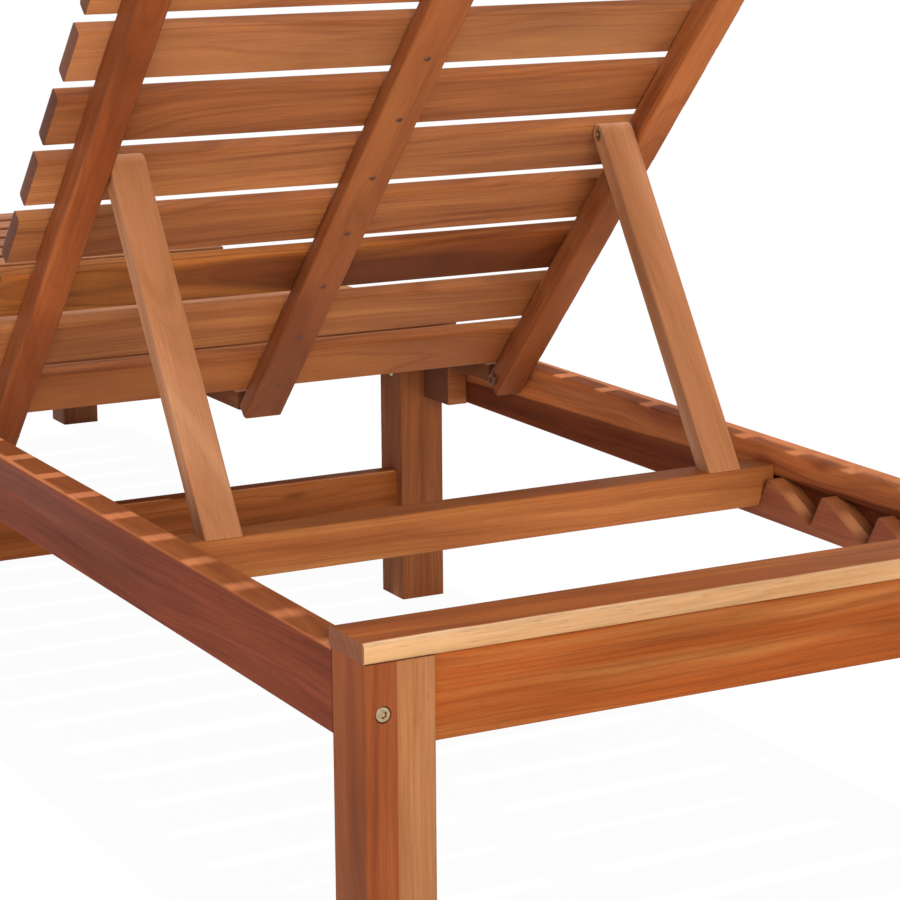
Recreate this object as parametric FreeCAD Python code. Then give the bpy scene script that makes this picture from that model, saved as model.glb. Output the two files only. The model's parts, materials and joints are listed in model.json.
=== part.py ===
import FreeCAD, Part
import math
import os

os.makedirs("parts", exist_ok=True)

# Slatted wooden sun lounger with a raised back, in millimetres.
# +X is to the right seen from the head end, +Y runs to the foot end, +Z is up.
# The origin is on the floor under the middle of the lounger.
# Lengths named "from_head" are measured from the front of the head legs.
# Heights named "above_rail" are measured from the underside of the side rails.

# Overall size
length = 2000.0
width = 595.0
floor_gap = 210.0            # floor to the underside of the rails

# Boards
rail_height = 57.3
rail_thickness = 25.5
slat_width = 53.0
head_slat_width = 50.0
slat_thickness = 14.0
slat_round = 3.0
back_slat_short = 6.0        # ends of the back slats inside the outer faces of the rails
board_round = 2.0
seat_slat_count = 16
back_slat_count = 10
back_slat_pitch = 72.0

# Legs
head_leg_width = 50.0        # along X
inner_leg_width = 47.0       # middle and foot legs, which stand inside the rails
leg_depth = 47.5             # along Y
mid_leg_from_head = 969.0
block_length = 53.0          # block that carries a bearer in front of a middle leg
block_thickness = 21.5
stretcher_height = 39.7
stretcher_thickness = 22.0
stretcher_drop = 77.3        # rail underside to stretcher top
head_rail_setback = 2.5

# Back frame
back_angle = 46.55           # raised position shown in the photo
hinge_from_head = 804.2
hinge_depth = 11.0           # hinge axis below the undersides of the slats
side_stile_depth = 25.0
middle_stile_depth = 17.0
stile_round = 3.0
heel_round = 5.0             # lower corner of a side stile at the hinge
side_stile_width = 27.0
middle_stile_width = 37.5
first_slat_from_hinge = 10.8
stile_short_of_slat = 5.0
middle_stile_tail = 10.0     # middle stile past the hinge line
bearer_width = 28.0
bearer_depth = 17.0
bearer_from_hinge = 18.0
seat_from_hinge = 34.0

# Prop
prop_width = 31.0
prop_depth = 18.0
prop_round = 2.0
prop_from_hinge = 353.6      # prop pivot along the stile
prop_pivot_depth = 9.4       # prop pivot below the undersides of the slats
bar_from_head = 382.3        # head-side face of the crossbar
bar_depth = 30.0
bar_bottom_above_rail = 10.0
bar_height = 33.2

# Ratchet strips
strip_proud = 13.5           # strip in front of the rail's inner face
housing_depth = 8.5          # strip let into the rail
strip_height = 34.5
strip_start_from_head = 172.0
strip_end_from_head = 460.0
notch_count = 4              # the one nearest the foot holds the crossbar
notch_pitch = 75.0
notch_floor_angle = 27.0     # floor rises towards the foot
notch_wall_angle = 62.0      # wall rises towards the head
notch_round = 8.0
notch_above_rail = 16.3      # centre of the round bottom
notch_behind_bar = 8.6       # centre of the round bottom from the head-side face of the crossbar

# Bolts and nuts
bolt_diameter = 6.0
bolt_head_diameter = 11.0
bolt_head_height = 4.5
bolt_head_chamfer = 0.8
bolt_tip_gap = 4.0           # bolt tip to the outside of the nut that takes it
socket_size = 5.0
socket_depth = 2.7
nut_flange_diameter = 14.0
nut_flange_height = 2.0
nut_barrel_diameter = 9.0
nut_barrel_length = 12.0
barrel_nut_diameter = 10.0
barrel_nut_from_joint = 14.0
barrel_nut_inset = 2.0       # ends of a cross nut below the faces of the rail
leg_bolt_height = 24.0       # above the underside of the rail
washer_diameter = 18.0
hinge_washer_thickness = 4.0
prop_washer_thickness = 1.5
nut_floor = 1.0              # closed end of a sleeve nut

# Clearances
shaft_play = 0.1             # radial, bolt in a hole
seat_play = 0.2              # radial, bolt head or nut in its recess
face_play = 0.1              # between faces that turn on each other
housing_play = 0.2           # round a strip in its housing
bar_end_play = 1.0           # crossbar to rails, and its full section to the strips
notch_play = 0.3             # crossbar to the floor and wall of its notch
recess_lip = 0.4             # bolt heads and nuts below the wood

# Places that follow from the sizes
y_head = -length / 2
y_foot = length / 2
x_out = width / 2
x_in = x_out - rail_thickness
z_rail = floor_gap
z_deck = floor_gap + rail_height
hinge_y = y_head + hinge_from_head
hinge_z = z_deck - hinge_depth
stile_out = x_in - hinge_washer_thickness - face_play
stile_in = stile_out - side_stile_width
prop_out = stile_in - prop_washer_thickness - face_play
prop_in = prop_out - prop_width
strip_in = x_in - strip_proud
strip_out = x_in + housing_depth
strip_top = z_rail + strip_height
strip_y0 = y_head + strip_start_from_head
strip_y1 = y_head + strip_end_from_head
bearer_bottom = z_deck - bearer_depth
bearer_y = hinge_y + bearer_from_hinge
middle_reach = middle_stile_width / 2
seat_y = hinge_y + seat_from_hinge
back_reach = first_slat_from_hinge + (back_slat_count - 1) * back_slat_pitch + slat_width
stile_length = back_reach - stile_short_of_slat
seat_pitch = (y_foot - slat_width - seat_y) / (seat_slat_count - 1)
leg_in = x_in - inner_leg_width
head_inner = x_out - head_leg_width
mid_leg_y = y_head + mid_leg_from_head
foot_leg_y = y_foot - leg_depth
bar_y = y_head + bar_from_head
bar_z = z_rail + bar_bottom_above_rail
bar_top = bar_z + bar_height
head_sink = bolt_head_height + recess_lip
leg_bolt_seat_x = leg_in + head_sink
leg_bolt_grip = x_out - recess_lip - bolt_tip_gap - leg_bolt_seat_x
leg_bolt_z = z_rail + leg_bolt_height
V = FreeCAD.Vector


def save(node, shape):
    """Write one node; a list of solids becomes one group."""
    if isinstance(shape, list):
        shape = Part.makeCompound(shape)
    shape.exportStep("parts/" + node + ".step")


def eased(shape, along, radius):
    """Round the straight edges that run along one direction."""
    runs = [edge for edge in shape.Edges if abs(edge.tangentAt(edge.FirstParameter).dot(along)) > 0.99
            and edge.Curve.TypeId == "Part::GeomLine"]
    return shape.makeFillet(radius, runs)


def board(x0, x1, y0, y1, z0, z1, along, radius=board_round):
    """A squared board whose edges along one axis are rounded."""
    return eased(Part.makeBox(x1 - x0, y1 - y0, z1 - z0, V(x0, y0, z0)), along, radius)


def rod(radius, start, axis, reach):
    return Part.makeCylinder(radius, reach, start, axis)


def extrude_x(wire, x0, x1):
    """Sweep a closed outline drawn in the YZ plane from x0 to x1."""
    face = Part.Face(wire)
    face.translate(V(x0, 0, 0))
    return face.extrude(V(x1 - x0, 0, 0))


def mirror_x(shape):
    return shape.mirror(V(0, 0, 0), V(1, 0, 0))


def both_sides(shape):
    return [shape, mirror_x(shape)]


def raise_back(shape, angle=back_angle):
    """Turn a piece drawn lying flat about the hinge to the raised position."""
    turned = shape.copy()
    turned.rotate(V(0, hinge_y, hinge_z), V(1, 0, 0), -angle)
    return turned


def raise_point(point):
    """Where a point of the flat back frame comes to in the raised position."""
    turn = FreeCAD.Rotation(V(1, 0, 0), -back_angle)
    centre = V(0, hinge_y, hinge_z)
    return centre + turn.multVec(point - centre)


def bolt(seat, axis, grip):
    """Socket head bolt; seat is the centre of the face under the head, axis runs to the tip."""
    top = seat - axis * bolt_head_height
    head = rod(bolt_head_diameter / 2, top, axis, bolt_head_height)
    rim = [edge for edge in head.Edges if edge.Closed and edge.CenterOfMass.isEqual(top, bolt_head_chamfer)]
    head = head.makeChamfer(bolt_head_chamfer, rim)
    across = V(0, 0, 1)
    beside = axis.cross(across)
    corner = socket_size / math.sqrt(3.0)
    corners = []
    for step in range(7):
        turn = math.radians(60.0 * step)
        corners.append(top + across * (corner * math.cos(turn)) + beside * (corner * math.sin(turn)))
    socket = Part.Face(Part.makePolygon(corners)).extrude(axis * socket_depth)
    return head.fuse(rod(bolt_diameter / 2, seat, axis, grip)).cut(socket).removeSplitter()


def bolt_seat(seat, axis, grip, sink):
    """Room for a bolt: shank hole and, where sink is above zero, a recess for its head."""
    room = rod(bolt_diameter / 2 + shaft_play, seat, axis, grip)
    if sink > 0:
        room = room.fuse(rod(bolt_head_diameter / 2 + seat_play, seat, axis * -1, sink))
    return room


def sleeve_nut(face, axis, bolt_from_face=False):
    """Flanged sleeve nut let into a face; axis points out of the wood.

    Its bore is closed at the end away from the bolt.
    """
    top = face - axis * recess_lip
    under = top - axis * nut_flange_height
    tip = under - axis * nut_barrel_length
    body = rod(nut_flange_diameter / 2, under, axis, nut_flange_height)
    body = body.fuse(rod(nut_barrel_diameter / 2, tip, axis, nut_barrel_length))
    bore_start = tip + axis * nut_floor if bolt_from_face else tip
    bore_length = nut_barrel_length - nut_floor
    if bolt_from_face:
        bore_length = bore_length + nut_flange_height
    bore = rod(bolt_diameter / 2 + shaft_play, bore_start, axis, bore_length)
    return body.cut(bore).removeSplitter()


def sleeve_nut_seat(face, axis):
    top = face - axis * (recess_lip + nut_flange_height)
    room = rod(nut_flange_diameter / 2 + seat_play, top, axis, recess_lip + nut_flange_height)
    tip = top - axis * (nut_barrel_length + face_play)
    return room.fuse(rod(nut_barrel_diameter / 2 + seat_play, tip, axis, nut_barrel_length + face_play))


def washer(start, thickness):
    ring = rod(washer_diameter / 2, start, V(1, 0, 0), thickness)
    return ring.cut(rod(bolt_diameter / 2 + shaft_play, start, V(1, 0, 0), thickness))


def notch(play, top):
    """Outline of the notch that holds the crossbar, up to a height; play moves its floor and wall inwards."""
    floor = math.radians(notch_floor_angle)
    wall = math.radians(notch_wall_angle)
    centre = V(0, bar_y + notch_behind_bar, z_rail + notch_above_rail)
    radius = notch_round - play
    floor_start = centre + V(0, math.sin(floor), -math.cos(floor)) * radius
    wall_start = centre + V(0, -math.sin(wall), -math.cos(wall)) * radius
    floor_end = floor_start + V(0, 1 / math.tan(floor), 1) * (top - floor_start.z)
    wall_end = wall_start + V(0, -1 / math.tan(wall), 1) * (top - wall_start.z)
    return Part.Wire([
        Part.makeLine(floor_end, floor_start),
        Part.Arc(floor_start, centre - V(0, 0, radius), wall_start).toShape(),
        Part.makeLine(wall_start, wall_end),
        Part.makeLine(wall_end, floor_end)])


# Side rails, with the housings of the ratchet strips and the seats of the bolts and their nuts
rail_axis_x = x_out - rail_thickness / 2
joint_y = y_head + leg_depth
nut_y = joint_y + barrel_nut_from_joint
bolt_rows = [mid_leg_y + leg_depth / 2, foot_leg_y + leg_depth / 2]
rail = board(x_in, x_out, joint_y, y_foot, z_rail, z_deck, V(0, 1, 0))
housing_length = strip_y1 - strip_y0 + 2 * housing_play
rail = rail.cut(Part.makeBox(housing_depth, housing_length, strip_height + housing_play,
                             V(x_in, strip_y0 - housing_play, z_rail)))
barrel_length = rail_thickness - 2 * barrel_nut_inset
barrel_at = V(x_in + barrel_nut_inset, nut_y, leg_bolt_z)
rail = rail.cut(rod(bolt_diameter / 2 + shaft_play, V(rail_axis_x, joint_y, leg_bolt_z), V(0, 1, 0),
                    head_sink + leg_bolt_grip + face_play - leg_depth))
rail = rail.cut(rod(barrel_nut_diameter / 2 + seat_play, V(x_in, nut_y, leg_bolt_z), V(1, 0, 0),
                    barrel_nut_inset + barrel_length + face_play))
for y in bolt_rows:
    rail = rail.cut(rod(bolt_diameter / 2 + shaft_play, V(x_in, y, leg_bolt_z), V(1, 0, 0), rail_thickness))
    rail = rail.cut(sleeve_nut_seat(V(x_out, y, leg_bolt_z), V(1, 0, 0)))
rail = rail.cut(rod(bolt_diameter / 2 + shaft_play, V(x_in, hinge_y, hinge_z), V(1, 0, 0), rail_thickness))
rail = rail.cut(sleeve_nut_seat(V(x_out, hinge_y, hinge_z), V(1, 0, 0)))
save("rail_right", rail)
save("rail_left", mirror_x(rail))

# Head end: two legs, the rail between them and the slat on top
head_leg = board(head_inner, x_out, y_head, joint_y, 0, z_deck, V(0, 0, 1))
head_seat = V(rail_axis_x, y_head + head_sink, leg_bolt_z)
head_leg = head_leg.cut(bolt_seat(head_seat, V(0, 1, 0), leg_depth, head_sink))
save("head_leg_right", head_leg)
save("head_leg_left", mirror_x(head_leg))
head_rail_y = y_head + head_rail_setback
save("head_rail", board(-head_inner, head_inner, head_rail_y, head_rail_y + rail_thickness, z_rail, z_deck,
                        V(1, 0, 0)))
save("head_slat", board(-x_out, x_out, y_head, y_head + head_slat_width, z_deck, z_deck + slat_thickness,
                        V(1, 0, 0), slat_round))

# Middle and foot legs inside the rails, the blocks in front of the middle legs, and the cross members
side_bolts = []
sleeve_nuts = []
for name, y in (("mid", mid_leg_y), ("foot", foot_leg_y)):
    row = y + leg_depth / 2
    seat = V(leg_bolt_seat_x, row, leg_bolt_z)
    leg = board(leg_in, x_in, y, y + leg_depth, 0, bearer_bottom, V(0, 0, 1))
    leg = leg.cut(bolt_seat(seat, V(1, 0, 0), inner_leg_width, head_sink))
    save(name + "_leg_right", leg)
    save(name + "_leg_left", mirror_x(leg))
    side_bolts = side_bolts + both_sides(bolt(seat, V(1, 0, 0), leg_bolt_grip))
    sleeve_nuts = sleeve_nuts + both_sides(sleeve_nut(V(x_out, row, leg_bolt_z), V(1, 0, 0)))
block = board(x_in - block_thickness, x_in, mid_leg_y - block_length, mid_leg_y, z_rail, bearer_bottom,
              V(0, 0, 1))
save("bearer_blocks", both_sides(block))
stretcher_y = mid_leg_y + (leg_depth - stretcher_thickness) / 2
stretcher_z = z_rail - stretcher_drop
save("mid_stretcher", board(-leg_in, leg_in, stretcher_y, stretcher_y + stretcher_thickness,
                            stretcher_z - stretcher_height, stretcher_z, V(1, 0, 0)))
save("foot_rail", board(-leg_in, leg_in, y_foot - rail_thickness, y_foot, z_rail, z_deck, V(1, 0, 0)))

# Leg bolts, six alike, and the cross nuts that take the two at the head end
head_bolt = bolt(head_seat, V(0, 1, 0), leg_bolt_grip)
save("leg_bolts", side_bolts + both_sides(head_bolt))
barrel = rod(barrel_nut_diameter / 2, barrel_at, V(1, 0, 0), barrel_length)
bore_start = V(rail_axis_x, nut_y - barrel_nut_diameter, leg_bolt_z)
barrel = barrel.cut(rod(bolt_diameter / 2 + shaft_play, bore_start, V(0, 1, 0), barrel_nut_diameter * 2))
save("barrel_nuts", both_sides(barrel))

# Ratchet strips: saw-toothed, each notch with a sloping floor, a steeper wall and a round bottom
strip = board(strip_in, strip_out, strip_y0, strip_y1, z_rail, strip_top, V(0, 1, 0))
for index in range(notch_count):
    channel = extrude_x(notch(0, strip_top), strip_in, strip_out)
    channel.translate(V(0, -index * notch_pitch, 0))
    strip = strip.cut(channel)
save("ratchet_right", strip)
save("ratchet_left", mirror_x(strip))

# Seat: bearers in line with the back stiles, and slats across the rails
side_bearer = board(x_in - bearer_width, x_in, bearer_y, y_foot, bearer_bottom, z_deck, V(0, 1, 0))
save("seat_bearer_right", side_bearer)
save("seat_bearer_left", mirror_x(side_bearer))
save("seat_bearer_middle", board(-middle_reach, middle_reach, bearer_y, y_foot - rail_thickness,
                                 bearer_bottom, z_deck, V(0, 1, 0)))


def slat(y0, reach):
    """Slat lying flat on the deck plane, reaching as far to the left as to the right."""
    return board(-reach, reach, y0, y0 + slat_width, z_deck, z_deck + slat_thickness, V(1, 0, 0), slat_round)


for index in range(seat_slat_count):
    save("seat_slat_%02d" % (index + 1), slat(seat_y + index * seat_pitch, x_out))

# Back frame, drawn lying flat on the rails and then raised about the hinge
stile_bottom = z_deck - side_stile_depth
stile_top_y = hinge_y - stile_length
heel_y = hinge_y + hinge_depth
heel_centre = V(0, heel_y - heel_round, stile_bottom + heel_round)
heel_turn = math.radians(45.0)
over_hinge = V(0, hinge_y + hinge_depth * math.sin(heel_turn), hinge_z + hinge_depth * math.cos(heel_turn))
under_heel = heel_centre + V(0, math.sin(heel_turn), -math.cos(heel_turn)) * heel_round
heel_top = V(0, hinge_y, z_deck)
heel_back = V(0, heel_y, hinge_z)
heel_low = V(0, heel_y, heel_centre.z)
heel_end = V(0, heel_centre.y, stile_bottom)
far_low = V(0, stile_top_y, stile_bottom)
far_top = V(0, stile_top_y, z_deck)
stile_outline = Part.Wire([
    Part.makeLine(far_top, heel_top),
    Part.Arc(heel_top, over_hinge, heel_back).toShape(),
    Part.makeLine(heel_back, heel_low),
    Part.Arc(heel_low, under_heel, heel_end).toShape(),
    Part.makeLine(heel_end, far_low),
    Part.makeLine(far_low, far_top)])
side_stile = eased(extrude_x(stile_outline, stile_in, stile_out), V(0, 1, 0), stile_round)
prop_flat = V(0, hinge_y - prop_from_hinge, z_deck - prop_pivot_depth)
side_stile = side_stile.cut(rod(bolt_diameter / 2 + shaft_play, V(stile_in, hinge_y, hinge_z), V(1, 0, 0),
                                side_stile_width))
prop_nut_face = prop_flat + V(stile_in, 0, 0)
side_stile = side_stile.cut(sleeve_nut_seat(prop_nut_face, V(-1, 0, 0)))
save("back_stile_right", raise_back(side_stile))
save("back_stile_left", raise_back(mirror_x(side_stile)))
middle_stile = board(-middle_reach, middle_reach, stile_top_y, hinge_y + middle_stile_tail,
                     z_deck - middle_stile_depth, z_deck, V(0, 1, 0), stile_round)
save("back_stile_middle", raise_back(middle_stile))
for index in range(back_slat_count):
    y = hinge_y - first_slat_from_hinge - slat_width - index * back_slat_pitch
    save("back_slat_%02d" % (index + 1), raise_back(slat(y, x_out - back_slat_short)))

# Hinges: bolt through stile and washer into a sleeve nut in the rail
hinge_seat = V(stile_in - face_play, hinge_y, hinge_z)
hinge_bolt = bolt(hinge_seat, V(1, 0, 0), x_out - recess_lip - bolt_tip_gap - hinge_seat.x)
save("hinge_bolts", both_sides(hinge_bolt))
save("hinge_washers", both_sides(washer(V(stile_out + face_play, hinge_y, hinge_z), hinge_washer_thickness)))
save("sleeve_nuts", sleeve_nuts + both_sides(sleeve_nut(V(x_out, hinge_y, hinge_z), V(1, 0, 0))))

# Prop: two arms that stand on the crossbar and turn on bolts in the side stiles
pivot = raise_point(prop_flat)
foot = V(0, bar_y, bar_top)
arm = pivot - foot
lean = math.atan2(arm.z, arm.y) + math.asin(prop_depth / 2 / arm.Length)
up_arm = V(0, math.cos(lean), math.sin(lean))
front = V(0, -math.sin(lean), math.cos(lean)) * (prop_depth / 2)
back_foot = V(0, bar_y + prop_depth / math.sin(lean), bar_top)
prop_outline = Part.Wire([
    Part.makeLine(foot, pivot + front),
    Part.Arc(pivot + front, pivot + up_arm * (prop_depth / 2), pivot - front).toShape(),
    Part.makeLine(pivot - front, back_foot),
    Part.makeLine(back_foot, foot)])
prop = eased(extrude_x(prop_outline, prop_in, prop_out), up_arm, prop_round)
prop_seat = pivot + V(prop_in + head_sink, 0, 0)
prop = prop.cut(bolt_seat(prop_seat, V(1, 0, 0), prop_width, head_sink))
save("prop_right", prop)
save("prop_left", mirror_x(prop))
prop_bolt_tip = stile_in + recess_lip + nut_flange_height + nut_barrel_length - bolt_tip_gap
prop_bolt_seat = prop_seat - V(face_play, 0, 0)
save("prop_bolts", both_sides(bolt(prop_bolt_seat, V(1, 0, 0), prop_bolt_tip - prop_bolt_seat.x)))
prop_washer_start = pivot + V(stile_in - prop_washer_thickness, 0, 0)
save("prop_washers", both_sides(washer(prop_washer_start, prop_washer_thickness)))
save("prop_nuts", both_sides(raise_back(sleeve_nut(prop_nut_face, V(-1, 0, 0), True))))

# Crossbar: its ends are cut to the shape of a notch, a little smaller
bar_reach = x_in - bar_end_play
bar_full = strip_in - bar_end_play
bar = board(-bar_reach, bar_reach, bar_y, bar_y + bar_depth, bar_z, bar_top, V(1, 0, 0))
room = extrude_x(notch(notch_play, bar_top), bar_full, bar_reach)
end = Part.makeBox(bar_reach - bar_full, bar_depth, bar_height, V(bar_full, bar_y, bar_z)).cut(room)
save("prop_crossbar", bar.cut(end).cut(mirror_x(end)))
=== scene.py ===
import bpy
import json
import math
import random
from mathutils import Euler, Matrix, Vector


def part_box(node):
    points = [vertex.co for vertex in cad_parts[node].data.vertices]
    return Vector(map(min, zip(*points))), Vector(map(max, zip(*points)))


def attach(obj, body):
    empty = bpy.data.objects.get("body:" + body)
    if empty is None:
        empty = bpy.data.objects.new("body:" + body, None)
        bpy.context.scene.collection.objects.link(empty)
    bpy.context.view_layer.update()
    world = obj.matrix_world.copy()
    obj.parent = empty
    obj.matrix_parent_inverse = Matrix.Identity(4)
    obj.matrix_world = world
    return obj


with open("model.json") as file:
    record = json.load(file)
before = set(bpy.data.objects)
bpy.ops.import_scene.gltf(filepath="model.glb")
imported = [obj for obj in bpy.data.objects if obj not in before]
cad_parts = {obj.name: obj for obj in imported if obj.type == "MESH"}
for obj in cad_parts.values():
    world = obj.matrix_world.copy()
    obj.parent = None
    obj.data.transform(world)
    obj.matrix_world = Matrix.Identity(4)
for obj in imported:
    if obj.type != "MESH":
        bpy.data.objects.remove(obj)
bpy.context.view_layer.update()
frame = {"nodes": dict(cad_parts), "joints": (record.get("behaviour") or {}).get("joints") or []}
nodes = frame["nodes"]

MM = 0.001

# Camera, solved from the edges of the boards in the photograph
CAMERA_PLACE_MM = (-1018.2, -2464.7, 768.9)
CAMERA_TURN_DEG = 28.08          # to the right of straight down the lounger
CAMERA_DROP_DEG = 12.63          # below the horizon
CAMERA_ROLL_DEG = 0.39
CAMERA_LENS_MM = 110.77
CAMERA_SENSOR_MM = 36.0
CAMERA_REACH_M = 50.0

# Light
KEY_PLACE_M = (-1.9, -7.6, 2.4)  # behind the camera and above it
KEY_TARGET_M = (0.0, -0.4, 0.4)
KEY_SIZE_M = 3.6
KEY_POWER_W = 420.0
KEY_COLOUR = "#ffe3bc"
SUN_HEIGHT_DEG = 63.2            # from the stripes of light that the slats let through onto the left rail
SUN_LEAN = 0.02                  # to the right of straight behind the foot end
SUN_STRENGTH = 3.0
SUN_SPREAD_DEG = 1.2
SURROUND_COLOUR = "#f1e8f6"
SURROUND_LEVEL = 0.46            # of its light on the object; the camera sees it at one, as white
WHITE = "#ffffff"
FLOOR_COLOUR = "#f4f3f0"
FLOOR_GLOW = 0.965               # share of white that the floor shows to the camera; the rest takes shadows
FLOOR_REACH_M = 60.0

# Directions of the boards that lie along none of the axes
BACK_ANGLE_DEG = 46.55           # stiles of the raised back
PROP_LEAN_DEG = 57.04            # arms of the prop

# Eased edges
EDGE_ROUND_MM = 1.1
WORN_ROUND_MM = 2.0
WORN_BOARDS = ("back_stile_", "prop_left", "prop_right")    # hands take hold of these
METAL_ROUND_MM = 0.25
EDGE_ANGLE_DEG = 38.0
EDGE_STEPS = 2
JOIN_REACH_MM = 0.005            # corners of facets that are nearer than this are one corner

# Oiled teak: where a board is cut from the trunk
CUT_ANGLES = (-0.9, 0.9)         # round the heart, in radians
CUT_RADII_MM = (40.0, 110.0)
CUT_HEIGHTS_M = (-3.0, 3.0)
BOARD_DEPTHS = (0.96, 1.04)      # powers that make a board's colour a little lighter or deeper
TAPER = 0.035                    # how fast a board leaves the rings along its length; draws long arches
TAPER_SHARES = (0.5, 1.0)

# Oiled teak: rings, bands and growth lines
WANDER_MM = (420.0, 110.0)       # along and across the grain, as are all pairs of sizes below
RING_WANDER_MM = 24.0
BAND_MM = (600.0, 24.0)          # broad bands of colour
BAND_RANGE = (0.28, 0.72)        # of the noise, from the darkest wood to the palest
LATE_WOOD_END = 0.42             # share of that range in which late wood turns to ordinary wood
PALE_WOOD_START = 0.5
LINE_MM = (450.0, 7.0)
LINE_MIDDLE = 0.5                # value of the noise at a growth line
LINE_HALF_WIDTH = 0.055

# Oiled teak: knots, which lie in cells and are measured in parts of a cell
KNOT_CELL_MM = (260.0, 70.0)
KNOT_LOT = 0.7                   # cells that draw more than this hold a knot: three in ten
KNOT_REACH = 0.32                # where the rings begin to swell
KNOT_SWELL_MM = 9.0
KNOT_CORE = (0.07, 0.02)         # where the dark core begins, and where it is full
KNOT_DARKNESS = 0.7

# Oiled teak: blotches, fibre and pores, the last two drawn as coarse as they need to show
BLOTCH_MM = (260.0, 60.0)
BLOTCH_RANGE = (0.3, 0.7)
BLOTCH_SHADES = (0.82, 1.16)
FIBRE_MM = (70.0, 1.5)           # real fibre is finer
FIBRE_RANGE = (0.25, 0.75)
FIBRE_SHADES = (0.86, 1.14)
PORE_MM = (16.0, 0.9)            # real vessels are about 0.3 mm wide
PORE_RANGE = (0.6, 0.74)
PORE_DARKNESS = 0.28
PORE_SINK = -0.6                 # against the height of the fibre
FIBRE_RELIEF_MM = 0.25
RELIEF_STRENGTH = 0.3
TEAK_ROUGHNESS = (0.54, 0.7)
TEAK_IOR = 1.45
TEAK_SPECULAR = 0.1              # low, because oil dulls the wood

# Oiled teak: sawn ends and notches, by how squarely a face is turned to the grain or upwards; faces that
# look up are painted paler, partly as painted light
END_TURN = (0.75, 0.97)
END_SHARE = 0.75
END_RING_SHADE = 0.6
NOTCH_TURN = (0.25, 0.5)
NOTCH_SHARE = 0.7
SAWN_AND_LIT_TEAK = "#a06a43"            # fresh saw cut, paler than the oiled faces, and partly painted light on faces that look up

# Boards of two woods; the left rail's lighter top and darker body are painted light and painted shade
SEAM_WAVER_MM = (90.0, 40.0)
SEAM_JUMP_M = (0.7, 0.031, 0.043)    # from the first wood's place in the trunk to the second's
LEG_GLUE_LINE = 0.45             # share of a head leg's width
SAPWOOD_MM = 3.0                 # pale wood along the front of the head slat
DARK_BELOW_HEIGHT_MM = 231.0      # darker tone below a sloping line in the right rail, at the middle of the lounger
DARK_BELOW_SLOPE = 0.0255
RAIL_LIT_TOP_MM = 1.5                # painted highlight: the lighter golden rail tone along the top of the left rail

# Plated steel
GRIME_MM = 3.0
GRIME_ROUGHNESS = (-0.08, 0.15)  # added to the roughness where there is least and most grime

# Screws from the middle stile into the slats
SCREW_HEAD_MM = 6.0
SCREW_PROUD_MM = 0.5
SCREW_SIDES = 24
SCREW_TOP = 0.84                 # width of a head's top against its foot
SCREW_RECESS = 0.55              # width of the round recess against the top
SCREW_RECESS_DEPTH = -0.8        # against how far the head stands proud
BACK_SLATS = 10
SLAT_PITCH_MM = 72.0
FIRST_SCREW_FROM_HINGE_MM = 37.3
STILE_FACE_FROM_HINGE_MM = 6.0   # underside of the stiles below the hinge axis

# Teak tones: late wood, ordinary heartwood, pale wood, and the sawn end
TONES = {
    "head_rail": ("#70391a", "#935023", "#a47040", "#70472d"),
    "cap": ("#582709", "#7d3f0f", "#9a581d", "#8a5a44"),
    "sapwood": ("#a6845d", "#bc9a74", "#cab494", "#866a5e"),
    "slat": ("#6a3a22", "#97603b", "#ae7645", "#52312b"),
    "dark_slat": ("#3a190a", "#6e3a1c", "#a4662f", "#4a2c22"),
    "stile": ("#65341b", "#8c502c", "#a26438", "#72432a"),
    # the left rail's red tone is darkened as painted shade on its sides; its top takes the lighter rail
    # tone
    "red_rail_shaded": ("#4e2220", "#773e29", "#8d4b35", "#64382e"),
    "rail": ("#8b4f32", "#b26f42", "#c48655", "#875647"),
    "dark_rail": ("#4e2416", "#6f381e", "#844b2a", "#633a2a"),
    "strip": ("#693c2d", "#8c543d", "#a46a4e", "#784c44"),
    "prop": ("#956841", "#b07e5c", "#c39a7a", "#b29278"),
    "crossbar": ("#7f4a27", "#9e6339", "#b27a48", "#865f41"),
    "leg": ("#6b341c", "#8b4d2a", "#995d34", "#69412d"),
    "pale_leg": ("#825735", "#9b6d49", "#a78161", "#704d38"),
    "under": ("#683d24", "#8d5837", "#a06c49", "#634135"),
    # deep: the under tone darkened as painted shade, for the seat bearers and foot legs under the seat
    "deep": ("#542f1b", "#73462b", "#825639", "#503329"),
    "stretcher": ("#643618", "#884e27", "#9a6034", "#603925"),
}

# Boards by the start of their names: direction of the grain, tones, and strength of the growth lines
BOARDS = {
    "back_slat_03": ("across", "dark_slat", 0.4),
    "back_slat_": ("across", "slat", 0.32),
    "seat_slat_": ("across", "slat", 0.32),
    "head_slat": ("across", "cap", 0.4),
    "back_stile_": ("back", "stile", 0.3),
    "prop_crossbar": ("across", "crossbar", 0.3),
    "prop_": ("prop", "prop", 0.2),
    "ratchet_": ("along", "strip", 0.3),
    "rail_left": ("along", "red_rail_shaded", 0.3),
    "rail_right": ("along", "rail", 0.35),
    # painted shade: the seat bearers take the darkened deep tone
    "seat_bearer_": ("along", "deep", 0.35),
    "head_rail": ("across", "head_rail", 0.4),
    "foot_rail": ("across", "under", 0.35),
    "bearer_blocks": ("across", "under", 0.35),
    "mid_stretcher": ("across", "stretcher", 0.35),
    "head_leg_": ("upright", "leg", 0.35),
    "mid_leg_": ("upright", "under", 0.35),
    # painted shade: the foot legs take the darkened deep tone
    "foot_leg_": ("upright", "deep", 0.35),
}

# Boards that are lighter (below one) or darker and deeper in colour (above one) than the rest
DEPTHS = {
    "back_slat_01": 1.08,
    "back_slat_07": 0.93,
    "back_stile_left": 1.12,
    "back_stile_middle": 0.95,
}
FIGURE_SHIFTS_MM = {"back_slat_03": 275.0}    # brings this slat's dark figure next to the middle stile

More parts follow.
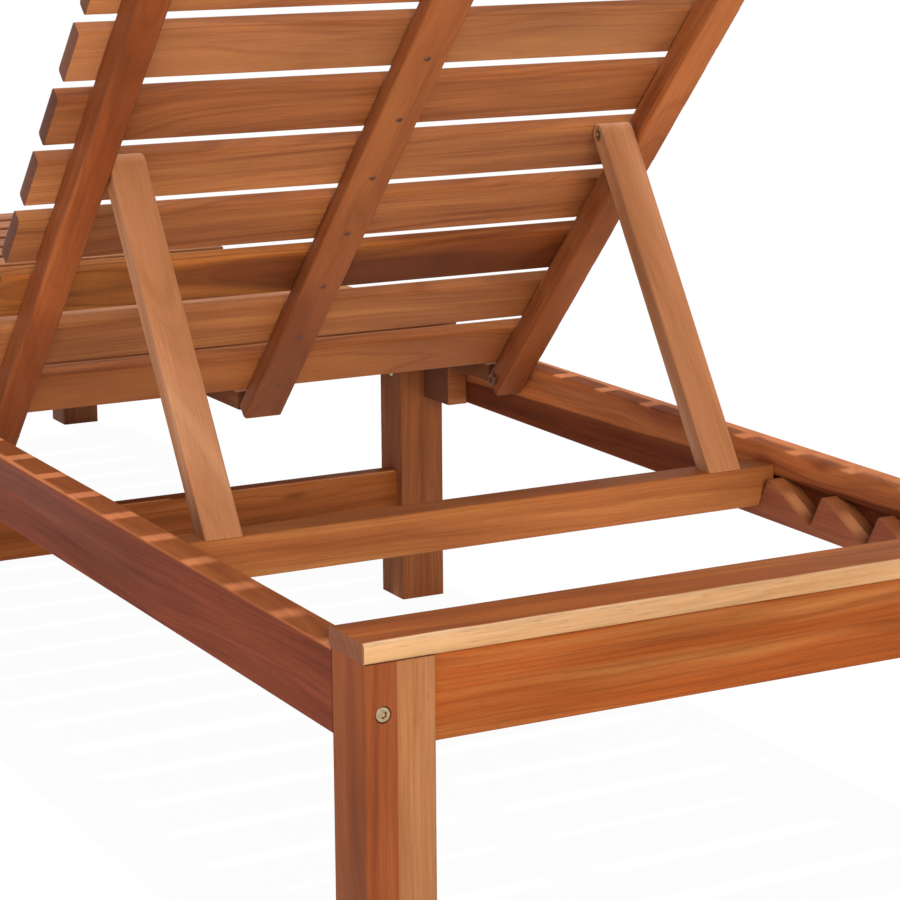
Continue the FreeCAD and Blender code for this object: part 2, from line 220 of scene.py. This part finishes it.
# Turns that bring the grain of a board to the X axis
GRAIN_TURNS = {
    "across": (0.0, 0.0, 0.0),
    "along": (0.0, 0.0, math.radians(-90.0)),
    "upright": (0.0, math.radians(90.0), 0.0),
    "back": (math.radians(BACK_ANGLE_DEG), 0.0, math.radians(-90.0)),
    "prop": (math.radians(-PROP_LEAN_DEG), 0.0, math.radians(-90.0)),
}

METAL_ENDINGS = ("bolts", "nuts", "washers")
BRIGHT_METAL = ("leg_bolts", "prop_bolts")


def linear(code):
    """An sRGB hex colour as linear red, green, blue and alpha."""
    parts = [int(code[i:i + 2], 16) / 255 for i in (1, 3, 5)]
    return [p / 12.92 if p <= 0.04045 else ((p + 0.055) / 1.055) ** 2.4 for p in parts] + [1.0]


def add(tree, kind, inputs=None, **settings):
    """Add a node; an input is either a value or the socket that feeds it."""
    node = tree.nodes.new(kind)
    for name, value in settings.items():
        setattr(node, name, value)
    for key, value in (inputs or {}).items():
        if isinstance(value, bpy.types.NodeSocket):
            tree.links.new(value, node.inputs[key])
        else:
            node.inputs[key].default_value = value
    return node


def new_material(name):
    material = bpy.data.materials.new(name)
    material.use_nodes = True
    material.node_tree.nodes.clear()
    return material, material.node_tree


def stretched(tree, place, size_mm):
    """Coordinates counted in pattern sizes; the two sizes are along and across the grain."""
    length, width = (size * MM for size in size_mm)
    scale = (1.0 / length, 1.0 / width, 1.0 / width)
    return add(tree, "ShaderNodeVectorMath", {0: place, 1: scale}, operation="MULTIPLY").outputs[0]


def change_of_wood(tree, here, place, seam):
    """The share of a board's second wood, and the place in the trunk, which jumps at the seam."""
    across, at, soft_mm, wander_mm = seam
    beyond = add(tree, "ShaderNodeVectorMath", {0: here, 1: across},
                 operation="DOT_PRODUCT").outputs["Value"]
    waver = add(tree, "ShaderNodeTexNoise",
                {"Vector": stretched(tree, place, SEAM_WAVER_MM), "Scale": 1.0, "Detail": 2.0}).outputs[0]
    moved = add(tree, "ShaderNodeMath", {0: waver, 1: 2 * wander_mm * MM, 2: beyond},
                operation="MULTIPLY_ADD").outputs[0]
    edge = at + wander_mm * MM
    second = add(tree, "ShaderNodeMapRange",
                 {"Value": moved, "From Min": edge - soft_mm * MM,
                  "From Max": edge + soft_mm * MM}).outputs[0]
    jump = add(tree, "ShaderNodeVectorMath", {0: SEAM_JUMP_M, "Scale": second},
               operation="SCALE").outputs[0]
    place = add(tree, "ShaderNodeVectorMath", {0: place, 1: jump}, operation="ADD").outputs[0]
    return second, place


def rings(tree, place, taper):
    """The place along the grain and out from the heart, and the share of a knot's dark core.

    The heart of the trunk wanders along the grain, and the rings swell around knots.
    """
    wander = add(tree, "ShaderNodeTexNoise",
                 {"Vector": stretched(tree, place, WANDER_MM), "Scale": 1.0, "Detail": 2.0,
                  "Roughness": 0.45}).outputs[0]
    section = add(tree, "ShaderNodeVectorMath", {0: place, 1: (0.0, 1.0, 1.0)},
                  operation="MULTIPLY").outputs[0]
    radius = add(tree, "ShaderNodeVectorMath", {0: section}, operation="LENGTH").outputs["Value"]
    wandered = add(tree, "ShaderNodeMath", {0: wander, 1: RING_WANDER_MM * 2 * MM, 2: radius},
                   operation="MULTIPLY_ADD").outputs[0]
    along = add(tree, "ShaderNodeSeparateXYZ", {0: place}).outputs[0]
    tapered = add(tree, "ShaderNodeMath", {0: along, 1: taper, 2: wandered},
                  operation="MULTIPLY_ADD").outputs[0]
    plain = add(tree, "ShaderNodeCombineXYZ", {0: along, 1: tapered}).outputs[0]

    knot = add(tree, "ShaderNodeTexVoronoi",
               {"Vector": stretched(tree, plain, KNOT_CELL_MM), "Scale": 1.0}, voronoi_dimensions="2D")
    lot = add(tree, "ShaderNodeSeparateXYZ", {0: knot.outputs["Color"]}).outputs[0]
    held = add(tree, "ShaderNodeMath", {0: lot, 1: KNOT_LOT}, operation="GREATER_THAN").outputs[0]
    swell = add(tree, "ShaderNodeMapRange",
                {"Value": knot.outputs["Distance"], "From Min": KNOT_REACH, "From Max": 0.0,
                 "To Max": KNOT_SWELL_MM * MM}, interpolation_type="SMOOTHSTEP").outputs[0]
    swollen = add(tree, "ShaderNodeMath", {0: swell, 1: held, 2: tapered},
                  operation="MULTIPLY_ADD").outputs[0]
    trunk = add(tree, "ShaderNodeCombineXYZ", {0: along, 1: swollen}).outputs[0]
    darkness = add(tree, "ShaderNodeMapRange",
                   {"Value": knot.outputs["Distance"], "From Min": KNOT_CORE[0], "From Max": KNOT_CORE[1],
                    "To Max": KNOT_DARKNESS}).outputs[0]
    core = add(tree, "ShaderNodeMath", {0: darkness, 1: held}, operation="MULTIPLY").outputs[0]
    return trunk, core


def figured(tree, tones, spread, lines, core):
    """The colour of planed wood: bands from dark to pale, with growth lines and knots in the dark tone."""
    dark, ordinary, pale, end = tones
    lower = add(tree, "ShaderNodeMapRange",
                {"Value": spread, "From Min": 0.0, "From Max": LATE_WOOD_END}).outputs[0]
    upper = add(tree, "ShaderNodeMapRange",
                {"Value": spread, "From Min": PALE_WOOD_START, "From Max": 1.0}).outputs[0]
    deep = add(tree, "ShaderNodeMix", {"Factor": lower, "A": dark, "B": ordinary}, data_type="RGBA")
    ground = add(tree, "ShaderNodeMix", {"Factor": upper, "A": deep.outputs["Result"], "B": pale},
                 data_type="RGBA")
    lined = add(tree, "ShaderNodeMix", {"Factor": lines, "A": ground.outputs["Result"], "B": dark},
                data_type="RGBA")
    knotted = add(tree, "ShaderNodeMix", {"Factor": core, "A": lined.outputs["Result"], "B": dark},
                  data_type="RGBA")
    return knotted.outputs["Result"]


def oiled_teak(node, seed, seam, second_wood, sawn_and_lit):
    """Oiled teak, sawn and planed: bands and dark growth lines run with the grain, over fine pores.

    Each board is cut from its own place in the trunk, so no two boards show the same figure. At a seam the
    wood changes to the second wood, or on the left rail to a painted lighter top. On a sawn board the faces
    that look up are painted paler: partly the saw cut, partly painted light.
    """
    grain, wood, line_strength = wood_of(node)
    turn = GRAIN_TURNS[grain]
    chance = random.Random(seed)
    cut_angle = chance.uniform(*CUT_ANGLES)
    cut_radius = chance.uniform(*CUT_RADII_MM) * MM
    cut_height = chance.uniform(*CUT_HEIGHTS_M)
    depth = chance.uniform(*BOARD_DEPTHS) * DEPTHS.get(node, 1.0)
    taper = TAPER * chance.choice((-1.0, 1.0)) * chance.uniform(*TAPER_SHARES)
    low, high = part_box(node)
    middle = (Vector(low) + Vector(high)) / 2
    cut = Vector((cut_height, cut_radius * math.sin(cut_angle), cut_radius * math.cos(cut_angle)))
    cut.x += FIGURE_SHIFTS_MM.get(node, 0.0) * MM
    shift = cut - Euler(turn).to_matrix() @ middle

    material, tree = new_material("oiled_teak_" + node)
    coordinates = add(tree, "ShaderNodeTexCoord")
    here = coordinates.outputs["Object"]
    normal = coordinates.outputs["Normal"]
    place = add(tree, "ShaderNodeMapping", {"Vector": here, "Rotation": turn, "Location": shift}).outputs[0]
    if seam:
        second, place = change_of_wood(tree, here, place, seam)

    # Bands of colour and growth lines, which follow the rings
    trunk, core = rings(tree, place, taper)
    bands = add(tree, "ShaderNodeTexNoise",
                {"Vector": stretched(tree, trunk, BAND_MM), "Scale": 1.0, "Detail": 4.0,
                 "Roughness": 0.6}).outputs[0]
    spread = add(tree, "ShaderNodeMapRange",
                 {"Value": bands, "From Min": BAND_RANGE[0], "From Max": BAND_RANGE[1]}).outputs[0]
    line_noise = add(tree, "ShaderNodeTexNoise",
                     {"Vector": stretched(tree, trunk, LINE_MM), "Scale": 1.0, "Detail": 1.0}).outputs[0]
    from_line = add(tree, "ShaderNodeMath", {0: line_noise, 1: LINE_MIDDLE},
                    operation="SUBTRACT").outputs[0]
    near_line = add(tree, "ShaderNodeMath", {0: from_line}, operation="ABSOLUTE").outputs[0]
    lines = add(tree, "ShaderNodeMapRange",
                {"Value": near_line, "From Min": 0.0, "From Max": LINE_HALF_WIDTH,
                 "To Min": line_strength, "To Max": 0.0}).outputs[0]

    # Blotches, fibre and pores, all long in the grain
    blotch = add(tree, "ShaderNodeTexNoise",
                 {"Vector": stretched(tree, place, BLOTCH_MM), "Scale": 1.0, "Detail": 2.0}).outputs[0]
    cloud = add(tree, "ShaderNodeMapRange",
                {"Value": blotch, "From Min": BLOTCH_RANGE[0], "From Max": BLOTCH_RANGE[1],
                 "To Min": BLOTCH_SHADES[0], "To Max": BLOTCH_SHADES[1]}).outputs[0]
    fibre = add(tree, "ShaderNodeTexNoise",
                {"Vector": stretched(tree, place, FIBRE_MM), "Scale": 1.0, "Detail": 3.0,
                 "Roughness": 0.65}).outputs[0]
    thread = add(tree, "ShaderNodeMapRange",
                 {"Value": fibre, "From Min": FIBRE_RANGE[0], "From Max": FIBRE_RANGE[1],
                  "To Min": FIBRE_SHADES[0], "To Max": FIBRE_SHADES[1]}).outputs[0]
    pore_noise = add(tree, "ShaderNodeTexNoise",
                     {"Vector": stretched(tree, place, PORE_MM), "Scale": 1.0, "Detail": 1.0}).outputs[0]
    pores = add(tree, "ShaderNodeMapRange",
                {"Value": pore_noise, "From Min": PORE_RANGE[0], "From Max": PORE_RANGE[1]}).outputs[0]

    # Colour of the planed faces
    tones = [[c ** depth for c in linear(code)] for code in TONES[wood]]
    dark, end = tones[0], tones[3]
    colour = figured(tree, tones, spread, lines, core)
    if seam:
        other_tones = [[c ** depth for c in linear(code)] for code in TONES[second_wood]]
        other = figured(tree, other_tones, spread, lines, core)
        colour = add(tree, "ShaderNodeMix", {"Factor": second, "A": colour, "B": other},
                     data_type="RGBA").outputs["Result"]
    shade = add(tree, "ShaderNodeMath", {0: cloud, 1: thread}, operation="MULTIPLY").outputs[0]
    shaded = add(tree, "ShaderNodeVectorMath", {0: colour, "Scale": shade}, operation="SCALE").outputs[0]
    pore_depth = add(tree, "ShaderNodeMath", {0: pores, 1: PORE_DARKNESS}, operation="MULTIPLY").outputs[0]
    colour = add(tree, "ShaderNodeMix", {"Factor": pore_depth, "A": shaded, "B": dark},
                 data_type="RGBA").outputs["Result"]

    # Sawn ends take up more oil and look duller; the saw cuts of the notches stay paler, and where they
    # look up they are also painted light from above
    facing = add(tree, "ShaderNodeMapping", {"Vector": normal, "Rotation": turn},
                 vector_type="NORMAL").outputs[0]
    end_on = add(tree, "ShaderNodeSeparateXYZ", {0: facing}).outputs[0]
    end_size = add(tree, "ShaderNodeMath", {0: end_on}, operation="ABSOLUTE").outputs[0]
    end_mask = add(tree, "ShaderNodeMapRange",
                   {"Value": end_size, "From Min": END_TURN[0], "From Max": END_TURN[1],
                    "To Max": END_SHARE}).outputs[0]
    end_ring = [c * END_RING_SHADE for c in end[:3]] + [1.0]
    ringed = add(tree, "ShaderNodeMix", {"Factor": lines, "A": end, "B": end_ring},
                 data_type="RGBA").outputs["Result"]
    colour = add(tree, "ShaderNodeMix", {"Factor": end_mask, "A": colour, "B": ringed},
                 data_type="RGBA").outputs["Result"]
    if sawn_and_lit:
        upward = add(tree, "ShaderNodeSeparateXYZ", {0: normal}).outputs[2]
        lit_cut_mask = add(tree, "ShaderNodeMapRange",
                       {"Value": upward, "From Min": NOTCH_TURN[0], "From Max": NOTCH_TURN[1],
                        "To Max": NOTCH_SHARE}).outputs[0]
        colour = add(tree, "ShaderNodeMix", {"Factor": lit_cut_mask, "A": colour, "B": linear(SAWN_AND_LIT_TEAK)},
                     data_type="RGBA").outputs["Result"]

    rough = add(tree, "ShaderNodeMapRange",
                {"Value": fibre, "To Min": TEAK_ROUGHNESS[0], "To Max": TEAK_ROUGHNESS[1]}).outputs[0]
    height = add(tree, "ShaderNodeMath", {0: pores, 1: PORE_SINK, 2: fibre},
                 operation="MULTIPLY_ADD").outputs[0]
    relief = add(tree, "ShaderNodeBump",
                 {"Height": height, "Strength": RELIEF_STRENGTH,
                  "Distance": FIBRE_RELIEF_MM * MM}).outputs[0]
    surface = add(tree, "ShaderNodeBsdfPrincipled",
                  {"Base Color": colour, "Roughness": rough, "IOR": TEAK_IOR,
                   "Specular IOR Level": TEAK_SPECULAR, "Normal": relief})
    add(tree, "ShaderNodeOutputMaterial", {"Surface": surface.outputs[0]})
    return material


def plated_steel(name, code, grime_code, roughness, metal):
    """Plated steel, turned and tumbled, with some grime: a warm metal with a soft, uneven shine."""
    material, tree = new_material(name)
    place = add(tree, "ShaderNodeTexCoord").outputs["Object"]
    grime = add(tree, "ShaderNodeTexNoise",
                {"Vector": place, "Scale": 1.0 / (GRIME_MM * MM), "Detail": 3.0}).outputs[0]
    tone = add(tree, "ShaderNodeMix", {"Factor": grime, "A": linear(code), "B": linear(grime_code)},
               data_type="RGBA").outputs["Result"]
    rough = add(tree, "ShaderNodeMapRange",
                {"Value": grime, "To Min": roughness + GRIME_ROUGHNESS[0],
                 "To Max": roughness + GRIME_ROUGHNESS[1]}).outputs[0]
    surface = add(tree, "ShaderNodeBsdfPrincipled",
                  {"Base Color": tone, "Metallic": metal, "Roughness": rough})
    add(tree, "ShaderNodeOutputMaterial", {"Surface": surface.outputs[0]})
    return material


def smooth_shading():
    """Geometry nodes that shade rounded edges smooth and keep square ones crisp."""
    tree = bpy.data.node_groups.new("eased_edges", "GeometryNodeTree")
    tree.interface.new_socket("Geometry", in_out="INPUT", socket_type="NodeSocketGeometry")
    tree.interface.new_socket("Geometry", in_out="OUTPUT", socket_type="NodeSocketGeometry")
    start = add(tree, "NodeGroupInput")
    smooth = add(tree, "GeometryNodeSetShadeSmooth", {"Geometry": start.outputs[0]}, domain="FACE")
    angle = add(tree, "GeometryNodeInputMeshEdgeAngle").outputs[0]
    sharp = add(tree, "FunctionNodeCompare", {0: angle, 1: math.radians(EDGE_ANGLE_DEG)},
                operation="GREATER_THAN")
    crisp = add(tree, "GeometryNodeSetShadeSmooth",
                {"Geometry": smooth.outputs[0], "Selection": sharp.outputs[0], "Shade Smooth": False},
                domain="EDGE")
    add(tree, "NodeGroupOutput", {0: crisp.outputs[0]})
    return tree


def ease_edges(piece, size_mm, shading):
    """Join the facets, round the sharp edges a little and shade them."""
    weld = piece.modifiers.new("joined", "WELD")
    weld.merge_threshold = JOIN_REACH_MM * MM
    bevel = piece.modifiers.new("rounded", "BEVEL")
    bevel.width = size_mm * MM
    bevel.segments = EDGE_STEPS
    bevel.limit_method = "ANGLE"
    bevel.angle_limit = math.radians(EDGE_ANGLE_DEG)
    bevel.use_clamp_overlap = True
    shade = piece.modifiers.new("shaded", "NODES")
    shade.node_group = shading


def paint(piece, material):
    piece.data.materials.clear()
    piece.data.materials.append(material)


def wood_of(node):
    """Direction of a board's grain, its tones and the strength of its growth lines."""
    return next(facts for start, facts in BOARDS.items() if node.startswith(start))


def seam_of(node):
    """Where a board changes wood or painted tone, and the tone beyond; most boards are of one wood.

    The seam is a direction, a distance along it in metres, and how soft and how wavering the edge is in
    millimetres.
    """
    low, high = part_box(node)
    if node.startswith("head_leg_"):
        return ((1.0, 0.0, 0.0), low[0] + LEG_GLUE_LINE * (high[0] - low[0]), 0.2, 0.0), "pale_leg"
    if node == "head_slat":
        return ((0.0, -1.0, 0.0), -(low[1] + SAPWOOD_MM * MM), 1.0, 3.0), "sapwood"
    # the left rail is one wood: its top is painted in the lighter rail tone as painted light, over the
    # darker red tone as painted shade
    if node == "rail_left":
        return ((0.0, 0.0, 1.0), high[2] - RAIL_LIT_TOP_MM * MM, 0.8, 0.0), "rail"
    # the right rail is darker below a sloping line
    if node == "rail_right":
        return ((0.0, -DARK_BELOW_SLOPE, -1.0), -DARK_BELOW_HEIGHT_MM * MM, 1.5, 2.0), "dark_rail"
    return None, None


shading = smooth_shading()
brass = plated_steel("brass_plated_steel", "#dcc9a4", "#77624a", 0.26, 1.0)
browned = plated_steel("browned_steel", "#7a4a30", "#3a1c10", 0.5, 0.35)
for seed, (name, piece) in enumerate(sorted(nodes.items())):
    if name.endswith(METAL_ENDINGS):
        paint(piece, brass if name in BRIGHT_METAL else browned)
        ease_edges(piece, METAL_ROUND_MM, shading)
    else:
        seam, second_wood = seam_of(name)
        paint(piece, oiled_teak(name, seed, seam, second_wood, name.startswith("ratchet_")))
        ease_edges(piece, WORN_ROUND_MM if name.startswith(WORN_BOARDS) else EDGE_ROUND_MM, shading)


def screw_row_tree():
    """Geometry nodes for a row of low screw heads with a round recess, along X and facing +Z."""
    tree = bpy.data.node_groups.new("screw_row", "GeometryNodeTree")
    tree.interface.new_socket("Geometry", in_out="OUTPUT", socket_type="NodeSocketGeometry")
    sockets = {"Count": "NodeSocketInt", "Pitch": "NodeSocketFloat", "Head Radius": "NodeSocketFloat",
               "Proud": "NodeSocketFloat", "Finish": "NodeSocketMaterial"}
    inputs = {}
    for name, kind in sockets.items():
        inputs[name] = tree.interface.new_socket(name, in_out="INPUT", socket_type=kind).identifier
    start = add(tree, "NodeGroupInput")
    step = add(tree, "ShaderNodeCombineXYZ", {0: start.outputs["Pitch"]}).outputs[0]
    row = add(tree, "GeometryNodeMeshLine", {"Count": start.outputs["Count"], "Offset": step}).outputs[0]
    disc = add(tree, "GeometryNodeMeshCircle",
               {"Vertices": SCREW_SIDES, "Radius": start.outputs["Head Radius"]},
               fill_type="NGON").outputs[0]
    head = add(tree, "GeometryNodeExtrudeMesh", {"Mesh": disc, "Offset Scale": start.outputs["Proud"]},
               mode="FACES")
    eased = add(tree, "GeometryNodeScaleElements",
                {"Geometry": head.outputs["Mesh"], "Selection": head.outputs["Top"], "Scale": SCREW_TOP})
    inset = add(tree, "GeometryNodeExtrudeMesh",
                {"Mesh": eased.outputs[0], "Selection": head.outputs["Top"], "Offset Scale": 0.0},
                mode="FACES")
    ring = add(tree, "GeometryNodeScaleElements",
               {"Geometry": inset.outputs["Mesh"], "Selection": inset.outputs["Top"],
                "Scale": SCREW_RECESS})
    depth = add(tree, "ShaderNodeMath", {0: start.outputs["Proud"], 1: SCREW_RECESS_DEPTH},
                operation="MULTIPLY").outputs[0]
    recess = add(tree, "GeometryNodeExtrudeMesh",
                 {"Mesh": ring.outputs[0], "Selection": inset.outputs["Top"], "Offset Scale": depth},
                 mode="FACES")
    heads = add(tree, "GeometryNodeInstanceOnPoints",
                {"Points": row, "Instance": recess.outputs["Mesh"]}).outputs[0]
    real = add(tree, "GeometryNodeRealizeInstances", {"Geometry": heads}).outputs[0]
    done = add(tree, "GeometryNodeSetMaterial",
               {"Geometry": real, "Material": start.outputs["Finish"]}).outputs[0]
    add(tree, "NodeGroupOutput", {0: done})
    return tree, inputs


def screw_row(name, sizes, place, along, outward, body):
    """A row of screws from a point on a board, turned so that the heads face outward, riding on a body."""
    tree, inputs = screw_row_tree()
    maker = bpy.data.objects.new(name + "_maker", bpy.data.meshes.new(name + "_maker"))
    bpy.context.collection.objects.link(maker)
    modifier = maker.modifiers.new("row", "NODES")
    modifier.node_group = tree
    for key, value in sizes.items():
        modifier[inputs[key]] = value
    made = maker.evaluated_get(bpy.context.evaluated_depsgraph_get())
    mesh = bpy.data.meshes.new_from_object(made)
    bpy.data.objects.remove(maker)
    turn = Matrix((along, outward.cross(along), outward)).transposed().to_4x4()
    mesh.transform(Matrix.Translation(place) @ turn)
    piece = bpy.data.objects.new(name, mesh)
    bpy.context.collection.objects.link(piece)
    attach(piece, body)


hinge = next(Vector(joint["pos_m"]) for joint in frame["joints"] if joint["name"] == "backrest_hinge")
rise = math.radians(BACK_ANGLE_DEG)
up_stile = Vector((0.0, -math.cos(rise), math.sin(rise)))
under_stile = Vector((0.0, -math.sin(rise), -math.cos(rise)))
screw_row("middle_stile_screws",
          {"Count": BACK_SLATS, "Pitch": SLAT_PITCH_MM * MM, "Head Radius": SCREW_HEAD_MM / 2 * MM,
           "Proud": SCREW_PROUD_MM * MM, "Finish": browned},
          hinge + up_stile * FIRST_SCREW_FROM_HINGE_MM * MM + under_stile * STILE_FACE_FROM_HINGE_MM * MM,
          up_stile, under_stile, "backrest")


def camera():
    """The camera at the photograph's place."""
    turn, drop, roll = (math.radians(a) for a in (CAMERA_TURN_DEG, CAMERA_DROP_DEG, CAMERA_ROLL_DEG))
    ahead = Vector((math.sin(turn) * math.cos(drop), math.cos(turn) * math.cos(drop), -math.sin(drop)))
    right = Vector((math.cos(turn), -math.sin(turn), 0.0))
    down = ahead.cross(right)
    rolled_right = right * math.cos(roll) + down * math.sin(roll)
    rolled_down = down * math.cos(roll) - right * math.sin(roll)
    data = bpy.data.cameras.new("camera")
    data.lens = CAMERA_LENS_MM
    data.sensor_width = CAMERA_SENSOR_MM
    data.clip_end = CAMERA_REACH_M
    item = bpy.data.objects.new("camera", data)
    axes = Matrix((rolled_right, -rolled_down, -ahead)).transposed().to_4x4()
    item.matrix_world = Matrix.Translation(Vector(CAMERA_PLACE_MM) * MM) @ axes
    bpy.context.collection.objects.link(item)
    bpy.context.scene.camera = item


def key_lamp():
    """A broad warm lamp behind the camera."""
    data = bpy.data.lights.new("key", "AREA")
    data.shape = "DISK"
    data.size = KEY_SIZE_M
    data.energy = KEY_POWER_W
    data.color = linear(KEY_COLOUR)[:3]
    item = bpy.data.objects.new("key", data)
    aim = Vector(KEY_TARGET_M) - Vector(KEY_PLACE_M)
    item.matrix_world = Matrix.Translation(KEY_PLACE_M) @ aim.to_track_quat("-Z", "Y").to_matrix().to_4x4()
    bpy.context.collection.objects.link(item)


def sun():
    """A distant light over the foot end, which shines through between the slats of the back."""
    data = bpy.data.lights.new("through_the_slats", "SUN")
    data.energy = SUN_STRENGTH
    data.angle = math.radians(SUN_SPREAD_DEG)
    item = bpy.data.objects.new("through_the_slats", data)
    height = math.radians(SUN_HEIGHT_DEG)
    aim = Vector((-SUN_LEAN, -math.cos(height), -math.sin(height)))
    item.matrix_world = aim.to_track_quat("-Z", "Y").to_matrix().to_4x4()
    bpy.context.collection.objects.link(item)


def seen_directly(tree):
    """One for a ray from the camera, off a shiny surface or through glass, and nought for others."""
    path = add(tree, "ShaderNodeLightPath")
    either = add(tree, "ShaderNodeMath",
                 {0: path.outputs["Is Camera Ray"], 1: path.outputs["Is Glossy Ray"]},
                 operation="MAXIMUM").outputs[0]
    return add(tree, "ShaderNodeMath", {0: either, 1: path.outputs["Is Transmission Ray"]},
               operation="MAXIMUM").outputs[0]


def surround():
    """A faintly lilac, even light from all round, which the camera sees as white."""
    world = bpy.data.worlds.new("studio")
    bpy.context.scene.world = world
    world.use_nodes = True
    tree = world.node_tree
    tree.nodes.clear()
    direct = seen_directly(tree)
    level = add(tree, "ShaderNodeMapRange",
                {"Value": direct, "To Min": SURROUND_LEVEL, "To Max": 1.0}).outputs[0]
    tint = add(tree, "ShaderNodeMix", {"Factor": direct, "A": linear(SURROUND_COLOUR), "B": linear(WHITE)},
               data_type="RGBA").outputs["Result"]
    glow = add(tree, "ShaderNodeBackground", {"Color": tint, "Strength": level})
    add(tree, "ShaderNodeOutputWorld", {"Surface": glow.outputs[0]})


def pale_floor():
    """A wide matt floor that the camera sees as nearly white, with faint shadows."""
    reach = FLOOR_REACH_M
    corners = [(-reach, -reach, 0), (reach, -reach, 0), (reach, reach, 0), (-reach, reach, 0)]
    mesh = bpy.data.meshes.new("floor")
    mesh.from_pydata(corners, [], [(0, 1, 2, 3)])
    floor = bpy.data.objects.new("floor", mesh)
    bpy.context.collection.objects.link(floor)
    material, tree = new_material("white_floor")
    matt = add(tree, "ShaderNodeBsdfDiffuse", {"Color": linear(FLOOR_COLOUR)})
    shine = add(tree, "ShaderNodeEmission", {"Color": linear(WHITE), "Strength": 1.0})
    share = add(tree, "ShaderNodeMath", {0: seen_directly(tree), 1: FLOOR_GLOW},
                operation="MULTIPLY").outputs[0]
    both = add(tree, "ShaderNodeMixShader", {"Fac": share, 1: matt.outputs[0], 2: shine.outputs[0]})
    add(tree, "ShaderNodeOutputMaterial", {"Surface": both.outputs[0]})
    paint(floor, material)


camera()
surround()
key_lamp()
sun()
pale_floor()
bpy.context.scene.view_settings.view_transform = "Standard"
